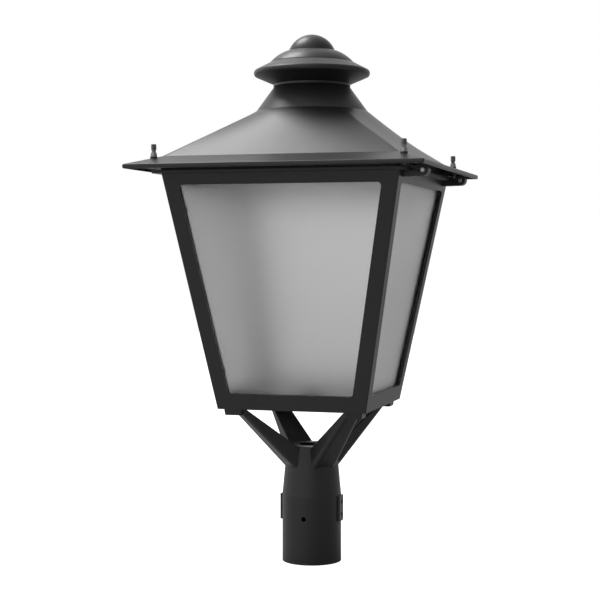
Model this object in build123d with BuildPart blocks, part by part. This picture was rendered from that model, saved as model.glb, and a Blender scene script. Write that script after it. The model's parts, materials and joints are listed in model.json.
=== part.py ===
from build123d import *
from math import atan, cos, radians, sin, sqrt, tan
import os

# Post top lantern: a square lantern that widens upwards, on a cast bracket with four arms that
# slips over a round post. The roof is hinged on the right hand side (+X) and held shut by a
# quarter turn latch on the left (-X). It carries the light source, the chimney and the cap.
# Millimetres, +Z up, front towards -Y, origin at the open foot of the post socket.

os.makedirs("parts", exist_ok=True)

# ---------------------------------------------------------------- driving dimensions

# Post bracket
socket_bore_r = 38.5
socket_depth = 100.0
socket_wall = 5.5
neck_length = 74.0
neck_top_r = 37.2
cable_way_r = 20.0
pilot_hole_r = 3.5
pilot_hole_z = 68.0
key_pad_width = 20.0
key_pad_height = 38.0
key_pad_proud = 2.2
key_pad_z = 80.0
set_screw_r = 4.0
set_screw_spacing = 18.0
bracket_height = 234.3
arm_width = 41.0
arm_tip_width = 25.0
arm_root_rise = 44.5
arm_root_bury = 6.0
arm_top_drop = 5.63
arm_tip_setback = 5.88
arm_tip_depth = 3.0
arm_edge_r = 7.0
arm_ease_r = 1.5
pad_side = 28.0
pad_corner_r = 3.0
pad_thickness = 9.3
pad_inset = 7.0
pad_draft = 10.0
pad_blind_skin = 0.6
bracket_bolt_r = 4.0

# Lantern cage
foot_half = 110.3
head_half = 171.5
cage_height = 336.7
cage_wall = 4.5
cage_edge_r = 2.0
ledge_thickness = 4.0
ledge_width = 38.0
stile_width = 22.5
top_rail = 16.0
bottom_rail = 23.0
window_corner_r = 5.0
corner_post = 12.5
rim_projection = 11.5
rim_thickness = 4.0
rim_corner_r = 6.0
rim_lip = 8.0

# Glazing
pane_thickness = 4.0
pane_overlap = 8.5
pane_corner_r = 3.0
seal_thickness = 1.5
seal_setback = 1.0
bead_setback = 1.0
bead_end_gap = 3.0
bead_leg = 2.5
bead_screw_inset = 40.0
bead_screw_length = 14.0

# Floor and cable gland
floor_thickness = 2.5
floor_gap = 1.0
floor_screw_inset = 19.0
gland_r = 10.0
gland_bore_r = 5.5
gland_across = 27.0
gland_hex_height = 6.0
gland_ease = 0.8
gland_cap_length = 16.0
gland_seal_thickness = 2.0
locknut_height = 5.0

# Roof
roof_gap = 1.5
brim_projection = 30.3
brim_edge = 6.0
brim_corner_r = 2.5
brim_edge_r = 2.0
brim_rise = 13.0
brim_width = 41.9
hip_r = 6.0
hip_top_angle = 3.0
roof_rise = 73.2
roof_top_r = 82.8
roof_skin = 3.6
brim_lip = 3.5
vent_r = 60.0
seat_rib_width = 7.0
gasket_width = 6.0

# Chimney, saucer, crown and dome
chimney_top_r = 55.8
chimney_rise = 37.1
chimney_wall = 4.0
chimney_flange = 16.8
chimney_flange_thickness = 3.5
chimney_plate = 3.2
bead_ring_proud = 1.3
vent_hole_r = 7.0
vent_hole_count = 6
vent_circle_r = 32.0
saucer_foot_r = 56.4
saucer_r = 86.2
saucer_rim_bulge = 1.9
saucer_rim = 8.4
saucer_under_rise = 12.3
saucer_top_rise = 11.3
saucer_top_r = 62.5
saucer_wall = 3.4
saucer_hole_r = 50.0
crown_r = 61.5
crown_top_r = 36.5
crown_foot = 1.0
crown_rise = 16.5
crown_bulge = 2.0
crown_wall = 3.0
dome_r = 36.4
dome_foot_r = 33.9
dome_foot = 1.2
dome_wall = 3.2
dome_boss_r = 9.0
tie_rod_r = 4.0
tie_grip = 14.0
tie_tail = 3.0
bridge_length = 146.0
bridge_width = 24.0
bridge_thickness = 4.0

# Corner studs on the brim
stud_r = 4.0
stud_neck_r = 3.0
stud_inset = 34.1
stud_height = 17.6
stud_top_height = 8.0
stud_tail = 1.0
stud_collar_r = 4.9
stud_collar_height = 6.0
stud_collar_flare = 9.0
stud_boss_r = 7.5
stud_boss_proud = 0.9
stud_boss_depth = 10.0

# Roof hinge
hinge_reach = 15.5
hinge_rise = 0.5
hinge_setback = 37.2
hinge_width = 18.0
ear_thickness = 5.0
knuckle_gap = 0.4
knuckle_r = 8.0
hinge_pin_r = 2.0
pin_head_r = 3.2
pin_head_height = 1.6
pin_clip_thickness = 1.0
hinge_bracket_drop = 8.8
hinge_bracket_shoulder = 3.0
hinge_slot_gap = 1.5
hinge_screw_inset = 5.5
hinge_screw_spacing = 9.0
leaf_thickness = 2.2
leaf_gap = 0.7
leaf_back = 17.4
leaf_front = 1.1
leaf_width = 30.0
leaf_screw_back = 14.5
leaf_screw_spacing = 24.0

# Quarter turn latch
latch_reach = 1.0
latch_tab_width = 32.0
latch_tab_reach = 11.0
latch_r = 3.0
latch_bush_wall = 2.5
latch_bush_flange = 1.2
latch_tongue = 21.0
latch_tongue_width = 10.0
latch_plate = 2.0
latch_play = 0.6
latch_nut_height = 3.2
wing_reach = 12.0
wing_thickness = 7.0
wing_height = 9.0
wing_hub_r = 6.0
catch_width = 12.0
catch_base = 20.0

# Gear under the roof
tray_half = 152.0
tray_thickness = 1.5
tray_lift = 2.5
tray_flange = 10.0
pillar_inset = 24.0
pillar_r = 6.5
sink_side = 112.0
sink_base = 5.0
sink_fin = 25.0
sink_fin_count = 10
sink_fin_thickness = 3.0
board_side = 104.0
board_thickness = 1.6
board_screw_half = 44.0
chip_side = 7.0
chip_height = 1.2
chip_spacing = 22.0
chip_rows = 4
diffuser_side = 136.0
diffuser_depth = 18.0
diffuser_wall = 2.5
diffuser_corner_r = 10.0
diffuser_boss_r = 5.0
diffuser_boss_inset = 6.0
driver_length = 150.0
driver_width = 42.0
driver_height = 30.0
driver_y = 100.0
driver_foot = 12.0
driver_foot_thickness = 3.0
terminal_length = 52.0
terminal_width = 22.0
terminal_height = 20.0
terminal_y = -95.0
terminal_foot = 9.0

# Fasteners and clearances
small_screw_r = 2.0
screw_r = 2.5
nut_height = 6.4
nut_across = 13.0
small_nut_height = 5.0
small_nut_across = 10.0
washer_r = 8.0
washer_thickness = 1.6
bolt_head_height = 5.3
thread_gap = 0.05
hole_gap = 0.2
running_gap = 0.05
part_gap = 0.3

# ---------------------------------------------------------------- derived places

quarter_turns = (0, 90, 180, 270)
socket_r = socket_bore_r + socket_wall
neck_top_z = socket_depth + neck_length
arm_root_z = socket_depth + arm_root_rise
arm_root_r = socket_r - (socket_r - neck_top_r) * arm_root_rise / neck_length
arm_tip_z = bracket_height - pad_thickness
pad_centre = foot_half - pad_inset - pad_side / 2
arm_tip_r = sqrt(2) * pad_centre - arm_tip_setback
arm_inner_r = cable_way_r + arm_root_bury
arm_top_r = arm_tip_r - arm_tip_depth
arm_top_root_z = neck_top_z - arm_top_drop
key_pad_r = socket_r + key_pad_proud

cage_z = bracket_height
rim_z = cage_z + cage_height
rim_top_z = rim_z + rim_thickness
tilt = atan((head_half - foot_half) / cage_height)
level_wall = cage_wall / cos(tilt)
pane_face_depth = cage_wall + seal_thickness
pane_back = (pane_face_depth + pane_thickness) / cos(tilt)
bead_reach = stile_width - bead_setback
rim_half = head_half + rim_projection
rim_open_half = head_half - level_wall - rim_lip
window_low = bottom_rail / cos(tilt)
window_high = (cage_height - top_rail) / cos(tilt)
pane_low = window_low - pane_overlap
pane_high = window_high + pane_overlap
bead_low_z = cage_z + pane_low * cos(tilt) + bead_end_gap
bead_high_z = cage_z + pane_high * cos(tilt) - bead_end_gap
floor_z = cage_z + ledge_thickness
floor_top_z = floor_z + floor_thickness
floor_screw_centre = foot_half - floor_screw_inset

brim_half = rim_half + brim_projection
stud_centre = brim_half - stud_inset
hinge_x = rim_half + hinge_reach
hinge_z = rim_z + hinge_rise
hinge_half = stud_centre - hinge_setback
hinge_places = (-hinge_half, hinge_half)
hinge_screw_x = rim_half - hinge_screw_inset
slot_width = hinge_width - 2 * ear_thickness
knuckle_width = slot_width - 2 * knuckle_gap
leaf_z = hinge_z + knuckle_r + leaf_gap
leaf_pad_z = leaf_z + leaf_thickness
leaf_screw_x = hinge_x - leaf_screw_back

roof_z = rim_top_z + roof_gap
brim_top_z = roof_z + brim_edge
slope_half = brim_half - brim_width
slope_z = brim_top_z + brim_rise
roof_top_z = slope_z + roof_rise
roof_land_z = roof_top_z - roof_skin
rib_outer_half = hinge_screw_x - 1.8 * small_screw_r - 2 * part_gap
rib_inner_half = rib_outer_half - seat_rib_width
stud_seat_z = brim_top_z + stud_inset * brim_rise / brim_width + stud_boss_proud
stud_boss_z = stud_seat_z - stud_boss_depth

tray_z = roof_z + tray_lift
tray_top_z = tray_z + tray_thickness
pillar_centre = tray_half - pillar_inset
chimney_screw_r = roof_top_r - chimney_flange / 2 - chimney_wall / 2
chimney_plate_z = roof_top_z + chimney_rise
chimney_top_z = chimney_plate_z + chimney_plate
saucer_edge_z = chimney_top_z + saucer_under_rise
saucer_top_z = saucer_edge_z + saucer_rim + saucer_top_rise
crown_top_z = saucer_top_z + crown_foot + crown_rise
dome_centre_z = crown_top_z + dome_foot - sqrt(dome_r**2 - dome_foot_r**2)
bridge_z = roof_land_z - bridge_thickness
diffuser_screw_half = diffuser_side / 2 - diffuser_boss_inset

latch_x = -(rim_half + latch_reach)
latch_foot_z = rim_top_z + latch_play
latch_tongue_z = latch_foot_z + latch_plate + latch_play
catch_leg_y = latch_tongue + latch_play
catch_foot_y = latch_tongue_width / 2 + latch_r
catch_pad_z = latch_tongue_z + latch_plate + latch_nut_height
catch_screw_y = catch_leg_y + latch_plate + catch_base / 2


# ---------------------------------------------------------------- shared forms

def cage_half(z):
    """Half width over the cage's outer faces at a height."""
    return foot_half + (z - cage_z) * tan(tilt)


def side_plane(turn, depth):
    """Plane of one tilted side of the cage, a depth below its outer face, Y up the slope."""
    outwards = Vector(0, -cos(tilt), -sin(tilt)).rotate(Axis.Z, turn)
    foot = Vector(0, -foot_half, cage_z).rotate(Axis.Z, turn)
    along = Vector(1, 0, 0).rotate(Axis.Z, turn)
    return Plane(origin=foot - outwards * depth, x_dir=along, z_dir=outwards)


def side_outline(low, high, margin):
    """Trapezoid in a side plane between two distances up the slope, in from the side edges."""
    low_half = foot_half + low * sin(tilt) - margin
    high_half = foot_half + high * sin(tilt) - margin
    return [(-low_half, low), (low_half, low), (high_half, high), (-high_half, high)]


def corner_bar(section, low, high):
    """A bar along one inside corner of the cage, its section in depths from the two faces."""
    with BuildPart() as bar:
        for height in (low, high):
            half = cage_half(height)
            with BuildSketch(Plane.XY.offset(height)):
                Polygon(*[(half - a, half - b) for a, b in section], align=None)
        loft(ruled=True)
    return bar.part


def soft_square(half, corner_r):
    """A closed outline of four straight sides and four corner arcs."""
    flat = half - corner_r
    with BuildLine() as outline:
        for turn in quarter_turns:
            start = Vector(-flat, -half).rotate(Axis.Z, turn)
            end = Vector(flat, -half).rotate(Axis.Z, turn)
            centre = Vector(flat, -flat).rotate(Axis.Z, turn)
            Line(start, end)
            CenterArc(centre, corner_r, turn - 90, 90)
    return outline.line


def split_circle(radius, corner_angle):
    """A circle in eight arcs, which pair with the sides and corners of a soft square."""
    side_angle = 90 - 2 * corner_angle
    with BuildLine() as outline:
        for turn in quarter_turns:
            CenterArc((0, 0), radius, turn - 90 - side_angle / 2, side_angle)
            CenterArc((0, 0), radius, turn - 90 + side_angle / 2, 2 * corner_angle)
    return outline.line


def roof_form(drop):
    """The roof's outer form moved down: a square brim, then a slope from square to round."""
    brim = soft_square(brim_half, brim_corner_r)
    foot = soft_square(slope_half, hip_r)
    top = split_circle(roof_top_r, hip_top_angle)
    with BuildPart() as form:
        with BuildSketch(Plane.XY.offset(roof_z - drop)):
            make_face(brim.edges())
        extrude(amount=brim_edge)
        with BuildSketch(Plane.XY.offset(brim_top_z - drop)):
            make_face(brim.edges())
        with BuildSketch(Plane.XY.offset(slope_z - drop)):
            make_face(foot.edges())
        loft(ruled=True)
        with BuildSketch(Plane.XY.offset(slope_z - drop)):
            make_face(foot.edges())
        with BuildSketch(Plane.XY.offset(roof_top_z - drop)):
            make_face(top.edges())
        loft(ruled=True)
    return form.part


def pan_screw(thread_r, length):
    """A pan head screw seated on Z zero: thread below, head with a hexagon socket above."""
    head_height = 1.1 * thread_r
    with BuildPart() as screw:
        with BuildSketch():
            Circle(1.8 * thread_r)
        extrude(amount=head_height)
        fillet(screw.faces().sort_by(Axis.Z)[-1].edges(), 0.4 * head_height)
        with BuildSketch():
            Circle(thread_r)
        extrude(amount=-length)
        with BuildSketch(Plane.XY.offset(head_height)):
            RegularPolygon(0.8 * thread_r, 6)
        extrude(amount=-0.6 * head_height, mode=Mode.SUBTRACT)
    return screw.part


def hex_nut(across, bore_r, height):
    """A hexagon nut standing on Z zero, its top and bottom edges eased."""
    ease = 0.1 * height
    with BuildPart() as nut:
        with BuildSketch():
            RegularPolygon(across / 2, 6, major_radius=False)
            Circle(bore_r, mode=Mode.SUBTRACT)
        extrude(amount=height)
        chamfer(nut.edges().filter_by(GeomType.LINE).filter_by(Axis.Z, reverse=True), ease)
    return nut.part


# ---------------------------------------------------------------- post bracket

# One arm towards +X: it narrows from the neck to its pad, and its outer edges are rounded most
arm_low_z = arm_root_z - arm_root_bury
with BuildPart() as arm_form:
    with BuildSketch(Plane.XZ.offset(-arm_width / 2)):
        Polygon(
            (arm_inner_r, arm_low_z),
            (arm_root_r - arm_root_bury, arm_low_z),
            (arm_tip_r, arm_tip_z),
            (arm_tip_r, bracket_height),
            (arm_top_r, bracket_height),
            (arm_inner_r, arm_top_root_z),
            align=None,
        )
    extrude(amount=arm_width)
    with BuildSketch(Plane.XY.offset(arm_low_z)):
        Polygon(
            (arm_inner_r, -arm_width / 2),
            (arm_tip_r, -arm_tip_width / 2),
            (arm_tip_r, arm_tip_width / 2),
            (arm_inner_r, arm_width / 2),
            align=None,
        )
    extrude(amount=bracket_height - arm_low_z, mode=Mode.INTERSECT)
    long_edges = arm_form.edges().filter_by(lambda edge: edge.length > 2 * arm_width).sort_by(Axis.Z)
    fillet(long_edges[:2], arm_edge_r)
    fillet(long_edges[2:], arm_ease_r)

with BuildPart() as post_bracket:
    with BuildSketch(Plane.XZ):
        Polygon(
            (0, 0),
            (socket_r, 0),
            (socket_r, socket_depth),
            (neck_top_r, neck_top_z),
            (0, neck_top_z),
            align=None,
        )
    revolve(axis=Axis.Z)
    with Locations((0, 0, key_pad_z)):
        Box(2 * key_pad_r, key_pad_width, key_pad_height)
    for turn in quarter_turns:
        add(arm_form.part, rotation=(0, 0, turn + 45))
    with BuildSketch(Plane.XY.offset(bracket_height)):
        with GridLocations(2 * pad_centre, 2 * pad_centre, 2, 2):
            RectangleRounded(pad_side, pad_side, pad_corner_r)
    extrude(amount=-pad_thickness, taper=pad_draft)
    with BuildSketch():
        Circle(socket_bore_r)
    extrude(amount=socket_depth, mode=Mode.SUBTRACT)
    with BuildSketch():
        Circle(cable_way_r)
    extrude(amount=neck_top_z, mode=Mode.SUBTRACT)
    with BuildSketch(Plane.XZ):
        with Locations((0, pilot_hole_z)):
            Circle(pilot_hole_r)
    extrude(amount=key_pad_r, both=True, mode=Mode.SUBTRACT)
    with BuildSketch(Plane.YZ):
        with Locations((0, key_pad_z)):
            with GridLocations(0, set_screw_spacing, 1, 2):
                Circle(set_screw_r)
    extrude(amount=key_pad_r, both=True, mode=Mode.SUBTRACT)
    with BuildSketch(Plane.XY.offset(bracket_height)):
        with GridLocations(2 * pad_centre, 2 * pad_centre, 2, 2):
            Circle(bracket_bolt_r + thread_gap)
    extrude(amount=pad_blind_skin - pad_thickness, mode=Mode.SUBTRACT)
post_bracket.part.label = "post_bracket"
export_step(post_bracket.part, "parts/post_bracket.step")

with BuildPart() as socket_set_screws:
    with BuildSketch(Plane.YZ.offset(socket_bore_r + part_gap)):
        with Locations((0, key_pad_z)):
            with GridLocations(0, set_screw_spacing, 1, 2):
                Circle(set_screw_r - thread_gap)
    extrude(amount=key_pad_r - socket_bore_r - 2 * part_gap)
    with BuildSketch(Plane.YZ.offset(key_pad_r - part_gap)):
        with Locations((0, key_pad_z)):
            with GridLocations(0, set_screw_spacing, 1, 2):
                RegularPolygon(set_screw_r / 2, 6)
    extrude(amount=-set_screw_r, mode=Mode.SUBTRACT)
    mirror(about=Plane.YZ)
socket_set_screws.part.label = "socket_set_screws"
export_step(socket_set_screws.part, "parts/socket_set_screws.step")

# ---------------------------------------------------------------- lantern cage

post_root = level_wall / 2
post_section = [
    (post_root, post_root),
    (corner_post, post_root),
    (corner_post, corner_post),
    (post_root, corner_post),
]
corner_post_form = corner_bar(post_section, floor_z, rim_z)

# Screws that hold the corner beads, one pair in the corner towards +X and +Y
bead_face = (bead_reach + pane_back + bead_leg) / 2
bead_screw_heights = (bead_low_z + bead_screw_inset, bead_high_z - bead_screw_inset)


def bead_screw_plane(height):
    """Plane of a corner bead's inner face at a height, its normal towards the lantern's axis."""
    place = cage_half(height) - bead_face
    return Plane(origin=(place, place, height), x_dir=(-1, 1, 0), z_dir=(-1, -1, 2 * tan(tilt)))


with BuildPart() as bead_screw_holes:
    for height in bead_screw_heights:
        with BuildSketch(bead_screw_plane(height)):
            Circle(screw_r + thread_gap)
        extrude(amount=-bead_screw_length - part_gap)

with BuildPart() as lantern_cage:
    for height in (cage_z, rim_z):
        with BuildSketch(Plane.XY.offset(height)):
            make_face(soft_square(cage_half(height), cage_edge_r).edges())
    loft(ruled=True)
    for height in (floor_z, rim_z):
        with BuildSketch(Plane.XY.offset(height)):
            Rectangle(2 * (cage_half(height) - level_wall), 2 * (cage_half(height) - level_wall))
    loft(ruled=True, mode=Mode.SUBTRACT)
    for turn in quarter_turns:
        add(corner_post_form, rotation=(0, 0, turn))
        add(bead_screw_holes.part, rotation=(0, 0, turn), mode=Mode.SUBTRACT)
    for turn in quarter_turns:
        with BuildSketch(side_plane(turn, 0)) as window:
            Polygon(*side_outline(window_low, window_high, stile_width), align=None)
            fillet(window.vertices(), window_corner_r)
        extrude(amount=-2 * cage_wall, mode=Mode.SUBTRACT)
    with BuildSketch(Plane.XY.offset(rim_z)):
        RectangleRounded(2 * rim_half, 2 * rim_half, rim_corner_r)
        with Locations((-rim_half, 0)):
            RectangleRounded(2 * latch_tab_reach, latch_tab_width, rim_corner_r)
        Rectangle(2 * rim_open_half, 2 * rim_open_half, mode=Mode.SUBTRACT)
        with Locations((latch_x, 0)):
            Circle(latch_r + latch_bush_wall + thread_gap, mode=Mode.SUBTRACT)
        with Locations((hinge_screw_x, 0)):
            for y in hinge_places:
                with Locations((0, y)):
                    with GridLocations(0, hinge_screw_spacing, 1, 2):
                        Circle(small_screw_r + hole_gap, mode=Mode.SUBTRACT)
    extrude(amount=rim_thickness)
    with BuildSketch(Plane.XY.offset(cage_z)):
        Rectangle(2 * (foot_half - ledge_width), 2 * (foot_half - ledge_width))
        with GridLocations(2 * pad_centre, 2 * pad_centre, 2, 2):
            Circle(bracket_bolt_r + hole_gap)
        with PolarLocations(floor_screw_centre, 4):
            Circle(small_screw_r + thread_gap)
    extrude(amount=ledge_thickness, mode=Mode.SUBTRACT)
lantern_cage.part.label = "lantern_cage"
export_step(lantern_cage.part, "parts/lantern_cage.step")

# ---------------------------------------------------------------- glazing


def pane(turn):
    """One trapezoid pane, seated on its seal behind the window."""
    with BuildPart() as sheet:
        with BuildSketch(side_plane(turn, pane_face_depth)) as shape:
            Polygon(*side_outline(pane_low, pane_high, stile_width - pane_overlap), align=None)
            fillet(shape.vertices(), pane_corner_r)
        extrude(amount=-pane_thickness)
    return sheet


front_pane = pane(0)
front_pane.part.label = "front_pane"
export_step(front_pane.part, "parts/front_pane.step")

right_pane = pane(90)
right_pane.part.label = "right_pane"
export_step(right_pane.part, "parts/right_pane.step")

back_pane = pane(180)
back_pane.part.label = "back_pane"
export_step(back_pane.part, "parts/back_pane.step")

left_pane = pane(270)
left_pane.part.label = "left_pane"
export_step(left_pane.part, "parts/left_pane.step")

with BuildPart() as glazing_seals:
    for turn in quarter_turns:
        with BuildSketch(side_plane(turn, cage_wall)) as ring:
            Polygon(*side_outline(pane_low, pane_high, stile_width - pane_overlap), align=None)
            Polygon(
                *side_outline(
                    window_low - seal_setback, window_high + seal_setback, stile_width - seal_setback
                ),
                align=None,
                mode=Mode.SUBTRACT,
            )
        extrude(amount=-seal_thickness)
glazing_seals.part.label = "glazing_seals"
export_step(glazing_seals.part, "parts/glazing_seals.step")

# A bar in each corner presses the edges of two panes against their seals
bead_section = [
    (bead_reach, pane_back),
    (corner_post, pane_back),
    (corner_post, corner_post),
    (pane_back, corner_post),
    (pane_back, bead_reach),
    (pane_back + bead_leg, bead_reach),
    (bead_reach, pane_back + bead_leg),
]
bead_form = corner_bar(bead_section, bead_low_z, bead_high_z)
with BuildPart() as corner_beads:
    for turn in quarter_turns:
        add(bead_form, rotation=(0, 0, turn))
        add(bead_screw_holes.part, rotation=(0, 0, turn), mode=Mode.SUBTRACT)
corner_beads.part.label = "corner_beads"
export_step(corner_beads.part, "parts/corner_beads.step")

bead_screw = pan_screw(screw_r, bead_screw_length)
with BuildPart() as bead_screws:
    for turn in quarter_turns:
        for height in bead_screw_heights:
            add(bead_screw.moved(bead_screw_plane(height).location), rotation=(0, 0, turn))
bead_screws.part.label = "bead_screws"
export_step(bead_screws.part, "parts/bead_screws.step")

# ---------------------------------------------------------------- floor and gland

floor_half = cage_half(floor_z) - level_wall - floor_gap
floor_notch = corner_post - level_wall
with BuildPart() as floor_plate:
    with BuildSketch(Plane.XY.offset(floor_z)):
        Rectangle(2 * floor_half, 2 * floor_half)
        with GridLocations(2 * floor_half, 2 * floor_half, 2, 2):
            Rectangle(2 * floor_notch, 2 * floor_notch, mode=Mode.SUBTRACT)
        with GridLocations(2 * pad_centre, 2 * pad_centre, 2, 2):
            Circle(bracket_bolt_r + hole_gap, mode=Mode.SUBTRACT)
        with PolarLocations(floor_screw_centre, 4):
            Circle(small_screw_r + hole_gap, mode=Mode.SUBTRACT)
        Circle(gland_r + hole_gap, mode=Mode.SUBTRACT)
    extrude(amount=floor_thickness)
floor_plate.part.label = "floor_plate"
export_step(floor_plate.part, "parts/floor_plate.step")

floor_screw = pan_screw(small_screw_r, floor_thickness + ledge_thickness)
with BuildPart() as floor_screws:
    with Locations((0, 0, floor_top_z)):
        with PolarLocations(floor_screw_centre, 4):
            add(floor_screw)
floor_screws.part.label = "floor_screws"
export_step(floor_screws.part, "parts/floor_screws.step")

bracket_washer_top_z = floor_top_z + washer_thickness
with BuildPart() as bracket_washers:
    with BuildSketch(Plane.XY.offset(floor_top_z)):
        with GridLocations(2 * pad_centre, 2 * pad_centre, 2, 2):
            Circle(washer_r)
            Circle(bracket_bolt_r + hole_gap, mode=Mode.SUBTRACT)
    extrude(amount=washer_thickness)
bracket_washers.part.label = "bracket_washers"
export_step(bracket_washers.part, "parts/bracket_washers.step")

bolt_end_z = cage_z - pad_thickness + 2 * pad_blind_skin
with BuildPart() as bracket_bolts:
    with BuildSketch(Plane.XY.offset(bracket_washer_top_z)):
        with GridLocations(2 * pad_centre, 2 * pad_centre, 2, 2):
            RegularPolygon(nut_across / 2, 6, major_radius=False)
    extrude(amount=bolt_head_height)
    head_edges = bracket_bolts.faces().sort_by(Axis.Z)[-4:].edges()
    chamfer(head_edges, 0.1 * bolt_head_height)
    with BuildSketch(Plane.XY.offset(bolt_end_z)):
        with GridLocations(2 * pad_centre, 2 * pad_centre, 2, 2):
            Circle(bracket_bolt_r)
    extrude(amount=bracket_washer_top_z - bolt_end_z)
bracket_bolts.part.label = "bracket_bolts"
export_step(bracket_bolts.part, "parts/bracket_bolts.step")

# Cable gland: hexagon body and cap above the floor plate, thread down through it, locknut below
gland_seat_z = floor_top_z + gland_seal_thickness
gland_hex_top_z = gland_seat_z + gland_hex_height
gland_low_z = floor_z - 1.4 * locknut_height
with BuildPart() as gland_body:
    with BuildSketch(Plane.XY.offset(gland_seat_z)):
        RegularPolygon(gland_across / 2, 6, major_radius=False)
    extrude(amount=gland_hex_height)
    chamfer(gland_body.edges().filter_by(Axis.Z, reverse=True), gland_ease)
    with BuildSketch(Plane.XY.offset(gland_low_z)):
        Circle(gland_r)
    extrude(amount=gland_hex_top_z - gland_low_z)
    with BuildSketch(Plane.XY.offset(gland_low_z)):
        Circle(gland_bore_r)
    extrude(amount=gland_hex_top_z - gland_low_z, mode=Mode.SUBTRACT)
gland_body.part.label = "gland_body"
export_step(gland_body.part, "parts/gland_body.step")

with BuildPart() as gland_cap:
    with BuildSketch(Plane.XY.offset(gland_hex_top_z)):
        Circle(gland_across / 2 - gland_ease)
    extrude(amount=gland_cap_length)
    fillet(gland_cap.faces().sort_by(Axis.Z)[-1].edges(), gland_cap_length / 3)
    with BuildSketch(Plane.XY.offset(gland_hex_top_z)):
        Circle(gland_bore_r)
    extrude(amount=gland_cap_length, mode=Mode.SUBTRACT)
gland_cap.part.label = "gland_cap"
export_step(gland_cap.part, "parts/gland_cap.step")

with BuildPart() as gland_seal:
    with BuildSketch(Plane.XY.offset(floor_top_z)):
        Circle(gland_across / 2 - gland_ease)
        Circle(gland_r + thread_gap, mode=Mode.SUBTRACT)
    extrude(amount=gland_seal_thickness)
gland_seal.part.label = "gland_seal"
export_step(gland_seal.part, "parts/gland_seal.step")

gland_nut_form = hex_nut(gland_across, gland_r + thread_gap, locknut_height)
with BuildPart() as gland_locknut:
    with Locations((0, 0, floor_z - locknut_height)):
        add(gland_nut_form)
gland_locknut.part.label = "gland_locknut"
export_step(gland_locknut.part, "parts/gland_locknut.step")

# ---------------------------------------------------------------- roof gasket

gasket_half = (rib_outer_half + rib_inner_half) / 2
with BuildPart() as roof_gasket:
    with BuildSketch(Plane.XY.offset(rim_top_z)):
        outer_side = 2 * gasket_half + gasket_width
        RectangleRounded(outer_side, outer_side, rim_corner_r)
        inner_side = 2 * gasket_half - gasket_width
        RectangleRounded(inner_side, inner_side, rim_corner_r - gasket_width / 2, mode=Mode.SUBTRACT)
    extrude(amount=roof_gap - part_gap)
roof_gasket.part.label = "roof_gasket"
export_step(roof_gasket.part, "parts/roof_gasket.step")

# ---------------------------------------------------------------- roof hinge

bracket_foot_z = hinge_z - hinge_bracket_drop
with BuildPart() as hinge_brackets:
    for y in hinge_places:
        with BuildSketch(Plane.XZ.offset(-y - hinge_width / 2)):
            Polygon(
                (cage_half(bracket_foot_z), bracket_foot_z),
                (hinge_x, hinge_z - knuckle_r),
                (hinge_x, hinge_z + knuckle_r / 2),
                (rim_half + part_gap, hinge_z + hinge_bracket_shoulder),
                (rim_half + part_gap, rim_z),
                (head_half, rim_z),
                align=None,
            )
            with Locations((hinge_x, hinge_z)):
                Circle(knuckle_r)
        extrude(amount=hinge_width)
        with Locations((hinge_x, y, hinge_z)):
            Box(2 * (knuckle_r + hinge_slot_gap), slot_width, 4 * knuckle_r, mode=Mode.SUBTRACT)
        with BuildSketch(Plane.XZ.offset(-y - hinge_width / 2)):
            with Locations((hinge_x, hinge_z)):
                Circle(hinge_pin_r + running_gap)
        extrude(amount=hinge_width, mode=Mode.SUBTRACT)
        with BuildSketch(Plane.XY.offset(rim_z)):
            with Locations((hinge_screw_x, y)):
                with GridLocations(0, hinge_screw_spacing, 1, 2):
                    Circle(small_screw_r + thread_gap)
        extrude(amount=-hinge_bracket_drop / 2, mode=Mode.SUBTRACT)
hinge_brackets.part.label = "hinge_brackets"
export_step(hinge_brackets.part, "parts/hinge_brackets.step")

hinge_screw = pan_screw(small_screw_r, rim_thickness + hinge_bracket_drop / 2 - part_gap)
with BuildPart() as hinge_bracket_screws:
    for y in hinge_places:
        with Locations((hinge_screw_x, y, rim_top_z)):
            with GridLocations(0, hinge_screw_spacing, 1, 2):
                add(hinge_screw)
hinge_bracket_screws.part.label = "hinge_bracket_screws"
export_step(hinge_bracket_screws.part, "parts/hinge_bracket_screws.step")

pin_end = hinge_width / 2 + 3 * pin_clip_thickness
with BuildPart() as hinge_pins:
    for y in hinge_places:
        with BuildSketch(Plane.XZ.offset(-y + hinge_width / 2)):
            with Locations((hinge_x, hinge_z)):
                Circle(pin_head_r)
        extrude(amount=pin_head_height)
        with BuildSketch(Plane.XZ.offset(-y + hinge_width / 2)):
            with Locations((hinge_x, hinge_z)):
                Circle(hinge_pin_r)
        extrude(amount=-hinge_width / 2 - pin_end)
    fillet(hinge_pins.faces().filter_by(Axis.Y).group_by(Axis.Y)[0].edges(), pin_head_height / 2)
hinge_pins.part.label = "hinge_pins"
export_step(hinge_pins.part, "parts/hinge_pins.step")

with BuildPart() as pin_clips:
    for y in hinge_places:
        with BuildSketch(Plane.XZ.offset(-y - hinge_width / 2 - pin_clip_thickness / 2)):
            with Locations((hinge_x, hinge_z)):
                Circle(pin_head_r)
                Circle(hinge_pin_r + thread_gap, mode=Mode.SUBTRACT)
        extrude(amount=-pin_clip_thickness)
pin_clips.part.label = "pin_clips"
export_step(pin_clips.part, "parts/pin_clips.step")

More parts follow.
